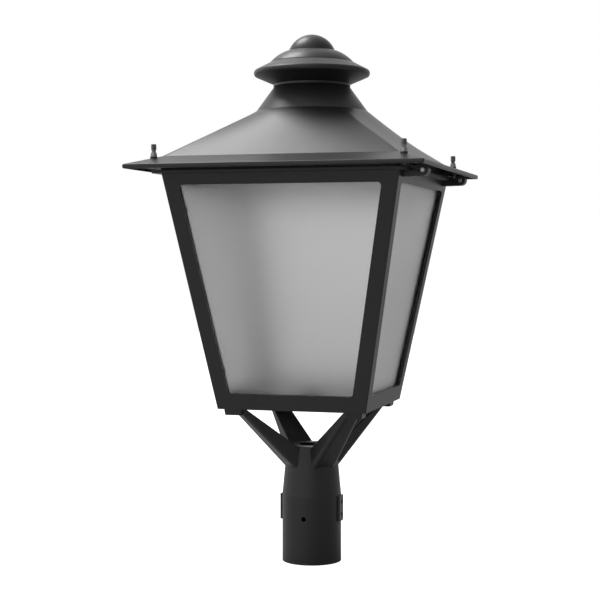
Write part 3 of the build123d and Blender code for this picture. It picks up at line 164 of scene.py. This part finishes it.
class EdgeSettings(bpy.types.PropertyGroup):
    """How round the edges are, and the thread on the corner studs."""

    casting_edge: bpy.props.FloatProperty(
        name="Casting edges",
        description="Radius that fettling and the coat leave on a casting's edges",
        default=0.0004,
        min=0.0001,
        unit="LENGTH",
    )
    glass_edge: bpy.props.FloatProperty(
        name="Glass edges",
        description="Width of the seam ground on the panes' edges",
        default=0.0005,
        min=0.0001,
        unit="LENGTH",
    )
    hardware_edge: bpy.props.FloatProperty(
        name="Hardware edges",
        description="Chamfer on turned and pressed hardware",
        default=0.0003,
        min=0.0001,
        unit="LENGTH",
    )
    gear_edge: bpy.props.FloatProperty(
        name="Gear edges",
        description="Chamfer on the edges of the gear under the roof",
        default=0.0004,
        min=0.0001,
        unit="LENGTH",
    )
    thread_pitch: bpy.props.FloatProperty(
        name="Thread pitch",
        description="Pitch of the studs' coarse M8 thread",
        default=0.00125,
        unit="LENGTH",
    )
    thread_depth: bpy.props.FloatProperty(
        name="Thread depth",
        description="From the thread's crest to its root",
        default=0.00065,
        unit="LENGTH",
    )


class StageSettings(bpy.types.PropertyGroup):
    """The photograph's view and the studio round the lantern."""

    camera_place: bpy.props.FloatVectorProperty(
        name="Camera place",
        description="Where the camera stands",
        default=(0.5890, -2.0455, 0.4566),
        unit="LENGTH",
    )
    camera_heading: bpy.props.FloatProperty(
        name="Heading",
        description="Turn from +Y towards -X",
        default=radians(16.54),
        unit="ROTATION",
    )
    camera_dip: bpy.props.FloatProperty(
        name="Dip",
        description="Angle below the horizon",
        default=radians(1.81),
        unit="ROTATION",
    )
    lens: bpy.props.FloatProperty(
        name="Lens",
        description="Focal length on a 36 mm sensor",
        default=85.65,
        unit="CAMERA",
    )
    floor_half: bpy.props.FloatProperty(
        name="Floor", description="Half the width of the floor", default=6.0, unit="LENGTH"
    )
    floor_drop: bpy.props.FloatProperty(
        name="Floor drop",
        description="How far the floor lies under the socket",
        default=0.0005,
        unit="LENGTH",
    )
    lamp_place: bpy.props.FloatVectorProperty(
        name="Lamp place",
        description="Where the round softbox hangs, up on the left",
        default=(-0.97, 0.36, 2.5),
        unit="LENGTH",
    )
    lamp_aim: bpy.props.FloatProperty(
        name="Lamp aim",
        description="Height on the lantern's axis that the softbox faces",
        default=0.6,
        unit="LENGTH",
    )
    lamp_size: bpy.props.FloatProperty(
        name="Lamp size", description="Width of the softbox", default=1.0, unit="LENGTH"
    )
    lamp_power: bpy.props.FloatProperty(
        name="Lamp power", description="Light of the softbox", default=27.0, unit="POWER"
    )
    fill: bpy.props.FloatProperty(
        name="Fill", description="Strength of the studio's fill light", default=0.35, min=0.0
    )
    sweep_bright: bpy.props.FloatProperty(
        name="Sweep bright",
        description="Up to this share of the way towards +X, reflections show white",
        default=-0.1,
    )
    sweep_dark: bpy.props.FloatProperty(
        name="Sweep dark",
        description="From this share of the way towards +X, they show only the fill",
        default=0.5,
    )


# ---------------------------------------------------------------- shader helpers


def linear(hex_colour):
    """An sRGB hex value as the linear colour that shaders read."""
    channels = [int(hex_colour[i : i + 2], 16) / 255 for i in (0, 2, 4)]
    return [
        c / 12.92 if c <= 0.04045 else ((c + 0.055) / 1.055) ** 2.4 for c in channels
    ] + [1.0]


def add_node(tree, kind, settings=None, **inputs):
    """One shader node: its settings, then each input as a value or the socket that feeds it.

    An input whose name is not its own is given by its number, as in _6.
    """
    node = tree.nodes.new(kind)
    for name, value in (settings or {}).items():
        setattr(node, name, value)
    for name, value in inputs.items():
        number = name[1:]
        socket = node.inputs[int(number) if number.isdigit() else name.replace("_", " ")]
        if isinstance(value, bpy.types.NodeSocket):
            tree.links.new(value, socket)
        else:
            socket.default_value = value
    return node


def new_material(name):
    """An empty material, its tree, and the place where its pattern is read."""
    material = bpy.data.materials.new(name)
    material.use_nodes = True
    tree = material.node_tree
    tree.nodes.clear()
    place = add_node(tree, "ShaderNodeTexCoord").outputs["Object"]
    return material, tree, place


def finish_material(material, tree, shader):
    """Puts a shader on the material's output."""
    add_node(tree, "ShaderNodeOutputMaterial", Surface=shader)
    return material


# ---------------------------------------------------------------- finishes

# Rolled and extruded lines run along X, where the grain is stretched 25 times.
ALONG_X = (0.04, 1, 1)

# Each plainly grained finish by its slot: two shades, roughness and grain, in metres.
WORKED_FINISHES = {
    # Moulded EPDM rubber: dull black, with a faint bloom in 2 mm patches.
    "seal_rubber": {"light": "1a1a1a", "dark": "101010", "roughness": 0.75, "grain": 0.002},
    # Clear passivated zinc plate: a dull grey metal, clouded at about 1.5 mm.
    "zinc_steel": {
        "light": "a4a5a4",
        "dark": "7f8184",
        "roughness": 0.48,
        "metallic": 1.0,
        "grain": 0.0015,
    },
    # Black oxide on steel: dark, with a thin oily gloss that varies over 1.2 mm.
    "black_steel": {
        "light": "303032",
        "dark": "1c1c1e",
        "roughness": 0.45,
        "metallic": 1.0,
        "grain": 0.0012,
    },
    # Turned stainless steel: bright. Its tool marks are drawn at 0.5 mm, so that they show.
    "stainless": {
        "light": "c8c9ca",
        "dark": "aeb0b2",
        "roughness": 0.3,
        "metallic": 1.0,
        "grain": 0.0005,
        "lines": (1, 1, 6),
    },
    # Mill finish aluminium sheet: long rolling lines, drawn 0.8 mm apart, so that they show.
    "sheet_aluminium": {
        "light": "c6c7c8",
        "dark": "b0b2b4",
        "roughness": 0.45,
        "metallic": 1.0,
        "grain": 0.0008,
        "lines": ALONG_X,
    },
    # Extruded aluminium: die lines along the fins, drawn 1 mm apart, so that they show.
    "sink_aluminium": {
        "light": "bcbec0",
        "dark": "a2a4a6",
        "roughness": 0.5,
        "metallic": 1.0,
        "grain": 0.001,
        "lines": ALONG_X,
    },
    # White polyester coat on sheet steel: glossy, with a 3 mm orange peel.
    "tray_steel": {
        "light": "e8e8e4",
        "dark": "e0e0dc",
        "roughness": 0.35,
        "grain": 0.003,
        "relief": 0.0001,
    },
    # Moulded glass filled nylon: black, with a spark eroded texture of 0.6 mm.
    "black_nylon": {"light": "1e1e1e", "dark": "141414", "roughness": 0.55, "grain": 0.0006},
    # Opal polycarbonate: milky, faintly clouded over 4 mm, and part of the light goes through.
    "opal_plastic": {
        "light": "f2f2ee",
        "dark": "ebebe6",
        "roughness": 0.45,
        "grain": 0.004,
        "Transmission_Weight": 0.3,
    },
    # White solder mask on an aluminium backed board: smooth and glossy, uneven over 5 mm.
    "board_laminate": {"light": "ecece8", "dark": "dedfd8", "roughness": 0.35, "grain": 0.005},
    # Silicone dome over yellow phosphor: glossy and grainy inside, at about 0.4 mm.
    "led_phosphor": {"light": "ecd05c", "dark": "d9b23c", "roughness": 0.25, "grain": 0.0004},
    # Moulded polycarbonate case: light grey, matt, with a 0.7 mm texture.
    "driver_plastic": {"light": "d4d4d0", "dark": "c6c6c2", "roughness": 0.5, "grain": 0.0007},
    # Moulded polyamide: ivory, with a soft gloss over a 1.2 mm texture.
    "terminal_plastic": {
        "light": "e0dcd0",
        "dark": "d2ccbc",
        "roughness": 0.42,
        "grain": 0.0012,
    },
}


def cast_coat(settings):
    """Textured polyester powder coat on die cast aluminium: nearly black, with a satin sheen."""
    material, tree, place = new_material("cast_coat")
    # The real grain is about 0.3 mm. It is drawn at 1.6 mm, so that it shows.
    grain = add_node(
        tree,
        "ShaderNodeTexNoise",
        Vector=place,
        Scale=1 / settings.coat_grain,
        Detail=3.0,
        Roughness=0.6,
    ).outputs["Fac"]
    # The coat's thickness wanders over about 70 mm, which shifts its shade a little.
    cloud = add_node(
        tree, "ShaderNodeTexNoise", Vector=place, Scale=COAT_CLOUDS, Detail=2.0
    ).outputs["Fac"]
    tint = add_node(
        tree,
        "ShaderNodeMix",
        {"data_type": "RGBA"},
        Factor=cloud,
        _6=linear(settings.coat_hex),
        _7=linear(settings.coat_cloud_hex),
    ).outputs[2]
    rough = add_node(
        tree,
        "ShaderNodeMapRange",
        Value=grain,
        To_Min=settings.coat_roughness - COAT_GLOSS_SPREAD,
        To_Max=settings.coat_roughness + ROUGHNESS_SPREAD,
    ).outputs["Result"]
    bump = add_node(
        tree, "ShaderNodeBump", Height=grain, Strength=0.3, Distance=0.0002
    ).outputs["Normal"]
    shader = add_node(
        tree, "ShaderNodeBsdfPrincipled", Base_Color=tint, Roughness=rough, Normal=bump
    ).outputs["BSDF"]
    return finish_material(material, tree, shader)


def frosted_glass(settings):
    """Satin etched toughened glass: it lets light through and blurs what is behind it."""
    material, tree, place = new_material("frosted_glass")
    # The etch is far finer than a pixel. It is drawn at 1.1 mm, as a faint sparkle.
    grain = add_node(
        tree, "ShaderNodeTexNoise", Vector=place, Scale=GLASS_ETCH, Detail=2.0
    ).outputs["Fac"]
    bump = add_node(
        tree, "ShaderNodeBump", Height=grain, Strength=0.12, Distance=0.0002
    ).outputs["Normal"]
    shader = add_node(
        tree,
        "ShaderNodeBsdfPrincipled",
        Base_Color=linear(settings.glass_hex),
        Roughness=settings.glass_roughness,
        Transmission_Weight=1.0,
        IOR=1.5,
        Specular_IOR_Level=0.05,
        Normal=bump,
    ).outputs["BSDF"]
    return finish_material(material, tree, shader)


def worked_finish(
    name, light, dark, roughness, grain, metallic=0.0, lines=(1, 1, 1), relief=0.00005, **extra
):
    """A finish whose grain moves its colour, dullness and relief, stretched along lines."""
    material, tree, place = new_material(name)
    place = add_node(tree, "ShaderNodeMapping", Vector=place, Scale=lines).outputs["Vector"]
    noise = add_node(
        tree, "ShaderNodeTexNoise", Vector=place, Scale=1 / grain, Detail=3.0
    ).outputs["Fac"]
    tint = add_node(
        tree,
        "ShaderNodeMix",
        {"data_type": "RGBA"},
        Factor=noise,
        _6=linear(dark),
        _7=linear(light),
    ).outputs[2]
    rough = add_node(
        tree,
        "ShaderNodeMapRange",
        Value=noise,
        To_Min=roughness - ROUGHNESS_SPREAD,
        To_Max=roughness + ROUGHNESS_SPREAD,
    ).outputs["Result"]
    bump = add_node(
        tree, "ShaderNodeBump", Height=noise, Strength=0.3, Distance=relief
    ).outputs["Normal"]
    shader = add_node(
        tree,
        "ShaderNodeBsdfPrincipled",
        Base_Color=tint,
        Metallic=metallic,
        Roughness=rough,
        Normal=bump,
        **extra,
    ).outputs["BSDF"]
    return finish_material(material, tree, shader)


def all_finishes(settings):
    """Every finish by the name of its slot."""
    finishes = {"cast_coat": cast_coat(settings), "frosted_glass": frosted_glass(settings)}
    for name, look in WORKED_FINISHES.items():
        finishes[name] = worked_finish(name, **look)
    return finishes


# ---------------------------------------------------------------- mesh helpers


def stand_in(piece, node):
    """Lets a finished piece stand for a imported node, in its finish and on its body."""
    piece.data.materials.clear()
    piece.data.materials.append(NODES[node].data.materials[0])
    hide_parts(node)
    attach(piece, BODY_OF[node])


def rounded_copy(node, edge, segments=1):
    """A copy of a node, merged to one skin, with its sharp edges chamfered or rounded."""
    bpy.ops.object.select_all(action="DESELECT")
    piece = bpy.data.objects.new(node + "_finished", NODES[node].data.copy())
    bpy.context.collection.objects.link(piece)
    piece.select_set(True)
    bpy.context.view_layer.objects.active = piece
    bpy.ops.object.mode_set(mode="EDIT")
    bpy.ops.mesh.select_all(action="SELECT")
    bpy.ops.mesh.remove_doubles(threshold=PACKED_WELD)
    bpy.ops.object.mode_set(mode="OBJECT")
    bpy.ops.object.shade_smooth_by_angle(angle=SHARP_ANGLE)
    bpy.ops.object.modifier_add(type="BEVEL")
    bevel = piece.modifiers[-1]
    bevel.width = edge
    bevel.segments = segments
    bevel.angle_limit = SHARP_ANGLE
    bevel.use_clamp_overlap = False
    bpy.ops.object.modifier_apply(modifier=bevel.name)
    # The large faces set the shading, so that they stay flat up to their rounded edges.
    bpy.ops.object.modifier_add(type="WEIGHTED_NORMAL")
    shading = piece.modifiers[-1]
    shading.keep_sharp = True
    shading.weight = 100
    bpy.ops.object.modifier_apply(modifier=shading.name)
    stand_in(piece, node)


def turned_bar(x, y, steps):
    """A round bar turned to a radius at each height of steps, closed at both ends."""
    (height, radius), *further = steps
    bpy.ops.object.select_all(action="DESELECT")
    bpy.ops.mesh.primitive_circle_add(
        vertices=ROUND_SIDES, radius=radius, fill_type="NGON", location=(x, y, height)
    )
    bar = bpy.context.object
    bpy.ops.object.transform_apply(location=True)
    bpy.ops.object.mode_set(mode="EDIT")
    bpy.ops.mesh.select_all(action="SELECT")
    for level, wide in further:
        bpy.ops.mesh.extrude_region_move(
            TRANSFORM_OT_translate={"value": (0, 0, level - height)}
        )
        bpy.ops.transform.resize(
            value=(wide / radius, wide / radius, 1), center_override=(x, y, level)
        )
        height, radius = level, wide
    bpy.ops.mesh.select_all(action="SELECT")
    bpy.ops.mesh.normals_make_consistent(inside=False)
    bpy.ops.object.mode_set(mode="OBJECT")
    return bar


def threaded_rod(x, y, low, high, edges):
    """A length of stud with a real helical thread, cut flat below and chamfered above."""
    pitch, depth = edges.thread_pitch, edges.thread_depth
    flank, flat = THREAD_FLANK * pitch, THREAD_FLAT * pitch
    # One turn's profile: up the flank, along the crest and down the other flank.
    bpy.ops.object.select_all(action="DESELECT")
    bpy.ops.mesh.primitive_plane_add(size=depth, location=(x, y, low - pitch))
    rod = bpy.context.object
    bpy.ops.object.mode_set(mode="EDIT")
    bpy.ops.mesh.select_all(action="SELECT")
    bpy.ops.mesh.merge(type="CENTER")
    bpy.ops.transform.translate(value=(STUD_R - depth, 0, 0))
    for out, up in ((depth, flank), (0, flat), (-depth, flank)):
        bpy.ops.mesh.extrude_region_move(TRANSFORM_OT_translate={"value": (out, 0, up)})
    bpy.ops.object.mode_set(mode="OBJECT")
    # One turn more than the length at each end, which the two cuts take off again.
    bpy.ops.object.modifier_add(type="SCREW")
    screw = rod.modifiers[-1]
    screw.screw_offset = pitch
    screw.iterations = ceil((high - low) / pitch) + 2
    screw.steps = screw.render_steps = ROUND_SIDES
    screw.use_merge_vertices = True
    screw.merge_threshold = THREAD_WELD
    bpy.ops.object.modifier_apply(modifier=screw.name)
    bpy.ops.object.transform_apply(location=True)
    bpy.ops.object.mode_set(mode="EDIT")
    bpy.ops.mesh.select_all(action="SELECT")
    bpy.ops.mesh.remove_doubles(threshold=THREAD_WELD)
    bpy.ops.mesh.bisect(
        plane_co=(x, y, low), plane_no=(0, 0, 1), clear_inner=True, use_fill=True
    )
    bpy.ops.mesh.select_all(action="SELECT")
    bpy.ops.mesh.bisect(
        plane_co=(x, y, high), plane_no=(0, 0, 1), clear_outer=True, use_fill=True
    )
    bpy.ops.mesh.select_all(action="SELECT")
    bpy.ops.mesh.normals_make_consistent(inside=False)
    bpy.ops.mesh.select_all(action="DESELECT")
    bpy.ops.object.mode_set(mode="OBJECT")
    for vertex in rod.data.vertices:
        vertex.select = vertex.co.z > high - PACKED_WELD
    bpy.ops.object.mode_set(mode="EDIT")
    bpy.ops.transform.resize(
        value=(THREAD_END_TAPER, THREAD_END_TAPER, 1), center_override=(x, y, high)
    )
    bpy.ops.object.mode_set(mode="OBJECT")
    return rod


# ---------------------------------------------------------------- stage helpers


def studio_world(stage):
    """White for the camera, through the glass and in most reflections, and a weaker fill."""
    world = bpy.data.worlds.new("studio")
    bpy.context.scene.world = world
    world.use_nodes = True
    tree = world.node_tree
    tree.nodes.clear()
    ray = add_node(tree, "ShaderNodeLightPath").outputs
    # The white sweep ends on the right, so reflections from there are darker.
    way = add_node(tree, "ShaderNodeTexCoord").outputs["Generated"]
    side = add_node(tree, "ShaderNodeSeparateXYZ", Vector=way).outputs["X"]
    sweep = add_node(
        tree,
        "ShaderNodeMapRange",
        Value=side,
        From_Min=stage.sweep_bright,
        From_Max=stage.sweep_dark,
        To_Min=1.0,
        To_Max=0.0,
    ).outputs["Result"]
    mirrored = add_node(
        tree, "ShaderNodeMath", {"operation": "MULTIPLY"}, _0=ray["Is Glossy Ray"], _1=sweep
    ).outputs[0]
    seen = add_node(
        tree, "ShaderNodeMath", {"operation": "MAXIMUM"}, _0=ray["Is Camera Ray"], _1=mirrored
    ).outputs[0]
    white = add_node(
        tree, "ShaderNodeMath", {"operation": "MAXIMUM"}, _0=seen, _1=ray["Is Transmission Ray"]
    ).outputs[0]
    strength = add_node(
        tree, "ShaderNodeMapRange", Value=white, To_Min=stage.fill, To_Max=1.0
    ).outputs["Result"]
    light = add_node(tree, "ShaderNodeBackground", Color=(1, 1, 1, 1), Strength=strength)
    add_node(tree, "ShaderNodeOutputWorld", Surface=light.outputs[0])


def softbox(stage):
    """The round softbox that lights the roof from the left."""
    bpy.ops.object.light_add(type="AREA", location=stage.lamp_place)
    lamp = bpy.context.object
    lamp.data.shape = "DISK"
    lamp.data.size = stage.lamp_size
    lamp.data.energy = stage.lamp_power
    back = lamp.location.copy()
    back.z -= stage.lamp_aim
    lamp.rotation_euler = back.to_track_quat("Z", "Y").to_euler()


def studio_floor(stage):
    """A floor that takes the lantern's shadow and is white to the camera."""
    bpy.ops.mesh.primitive_plane_add(size=2 * stage.floor_half, location=(0, 0, -stage.floor_drop))
    floor = bpy.context.object
    floor.name = "floor"
    bpy.ops.object.transform_apply(location=True)
    material, tree, _ = new_material("floor")
    ray = add_node(tree, "ShaderNodeLightPath").outputs
    paint = add_node(tree, "ShaderNodeBsdfDiffuse", Color=linear("e8e8e8")).outputs[0]
    glow = add_node(
        tree, "ShaderNodeEmission", Color=(1, 1, 1, 1), Strength=ray["Is Camera Ray"]
    ).outputs[0]
    both = add_node(tree, "ShaderNodeAddShader", _0=paint, _1=glow).outputs[0]
    floor.data.materials.append(finish_material(material, tree, both))


# ---------------------------------------------------------------- operators


class LANTERN_OT_finishes(bpy.types.Operator):
    """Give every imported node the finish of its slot"""

    bl_idname = "lantern.finishes"
    bl_label = "Finishes"

    def execute(self, context):
        finishes = all_finishes(context.scene.lantern_finish)
        for name, node in NODES.items():
            node.data.materials.clear()
            node.data.materials.append(finishes[FINISH_OF[name]])
        return {"FINISHED"}


class LANTERN_OT_castings(bpy.types.Operator):
    """Round the edges of the small castings as fettling and the coat leave them"""

    bl_idname = "lantern.castings"
    bl_label = "Castings"

    def execute(self, context):
        for node in CASTINGS:
            rounded_copy(node, context.scene.lantern_edges.casting_edge, segments=2)
        return {"FINISHED"}


class LANTERN_OT_panes(bpy.types.Operator):
    """Grind a seam along the edges of the four panes"""

    bl_idname = "lantern.panes"
    bl_label = "Panes"

    def execute(self, context):
        for node in PANES:
            rounded_copy(node, context.scene.lantern_edges.glass_edge)
        return {"FINISHED"}


class LANTERN_OT_hardware(bpy.types.Operator):
    """Chamfer the screws, nuts, pins, floor plate, gland and latch"""

    bl_idname = "lantern.hardware"
    bl_label = "Hardware"

    def execute(self, context):
        for node in HARDWARE:
            rounded_copy(node, context.scene.lantern_edges.hardware_edge)
        return {"FINISHED"}


class LANTERN_OT_gear(bpy.types.Operator):
    """Chamfer the edges of the heat sink, light board, diffuser, driver and terminal block"""

    bl_idname = "lantern.gear"
    bl_label = "Gear"

    def execute(self, context):
        for node in GEAR:
            rounded_copy(node, context.scene.lantern_edges.gear_edge)
        return {"FINISHED"}


class LANTERN_OT_studs(bpy.types.Operator):
    """Turn the four corner studs and cut their threads"""

    bl_idname = "lantern.studs"
    bl_label = "Corner studs"

    def execute(self, context):
        edges = context.scene.lantern_edges
        low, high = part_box("corner_studs")
        core = STUD_R - edges.thread_depth
        head_z = high[2] - STUD_HEAD_HEIGHT
        away = high[0] - STUD_R
        rod = threaded_rod(-away, -away, head_z, high[2], edges)
        bar = turned_bar(
            -away,
            -away,
            (
                (low[2], STUD_FOOT_TAPER * STUD_NECK_R),
                (low[2] + STUD_FOOT_CHAMFER, STUD_NECK_R),
                (head_z - STUD_SHOULDER, STUD_NECK_R),
                (head_z + STUD_SHOULDER, core),
                (high[2] - STUD_CORE_SINK, STUD_CORE_TAPER * core),
            ),
        )
        rod.select_set(True)
        bpy.ops.object.join()
        bar.name = "corner_studs_threaded"
        # Doubled along X, then both along Y, so that each corner has its stud.
        bpy.ops.object.mode_set(mode="EDIT")
        for across in ((2 * away, 0, 0), (0, 2 * away, 0)):
            bpy.ops.mesh.select_all(action="SELECT")
            bpy.ops.mesh.duplicate_move(TRANSFORM_OT_translate={"value": across})
        bpy.ops.object.mode_set(mode="OBJECT")
        bpy.ops.object.shade_smooth_by_angle(angle=STUD_SHARP_ANGLE)
        stand_in(bar, "corner_studs")
        return {"FINISHED"}


class LANTERN_OT_stage(bpy.types.Operator):
    """Camera at the photograph's view, white studio, softbox and floor"""

    bl_idname = "lantern.stage"
    bl_label = "Stage"

    def execute(self, context):
        stage = context.scene.lantern_stage
        bpy.ops.object.select_all(action="DESELECT")
        bpy.ops.object.camera_add(
            location=stage.camera_place,
            rotation=(pi / 2 - stage.camera_dip, 0, stage.camera_heading),
        )
        camera = context.object
        camera.data.lens = stage.lens
        camera.data.sensor_width = 36
        context.scene.camera = camera
        studio_world(stage)
        softbox(stage)
        studio_floor(stage)
        context.scene.view_settings.view_transform = "Standard"
        return {"FINISHED"}


class LANTERN_PT_steps(bpy.types.Panel):
    """The lantern's settings and the steps that make it"""

    bl_idname = "LANTERN_PT_steps"
    bl_label = "Lantern"
    bl_space_type = "VIEW_3D"
    bl_region_type = "UI"
    bl_category = "Lantern"

    def draw(self, context):
        for name, group in GROUPS:
            box = self.layout.box()
            for field in group.__annotations__:
                box.prop(getattr(context.scene, name), field)
        for step in STEPS:
            self.layout.operator("lantern." + step)


GROUPS = (
    ("lantern_finish", FinishSettings),
    ("lantern_edges", EdgeSettings),
    ("lantern_stage", StageSettings),
)
OPERATORS = (
    LANTERN_OT_finishes,
    LANTERN_OT_castings,
    LANTERN_OT_panes,
    LANTERN_OT_hardware,
    LANTERN_OT_gear,
    LANTERN_OT_studs,
    LANTERN_OT_stage,
)
STEPS = [operator.bl_idname.split(".")[1] for operator in OPERATORS]


def register():
    for name, group in GROUPS:
        bpy.utils.register_class(group)
        setattr(bpy.types.Scene, name, bpy.props.PointerProperty(type=group))
    for item in (*OPERATORS, LANTERN_PT_steps):
        bpy.utils.register_class(item)


def unregister():
    for item in (LANTERN_PT_steps, *reversed(OPERATORS)):
        bpy.utils.unregister_class(item)
    for name, group in reversed(GROUPS):
        delattr(bpy.types.Scene, name)
        bpy.utils.unregister_class(group)


def main():
    register()
    for step in STEPS:
        getattr(bpy.ops.lantern, step)()


if __name__ == "__main__":
    main()
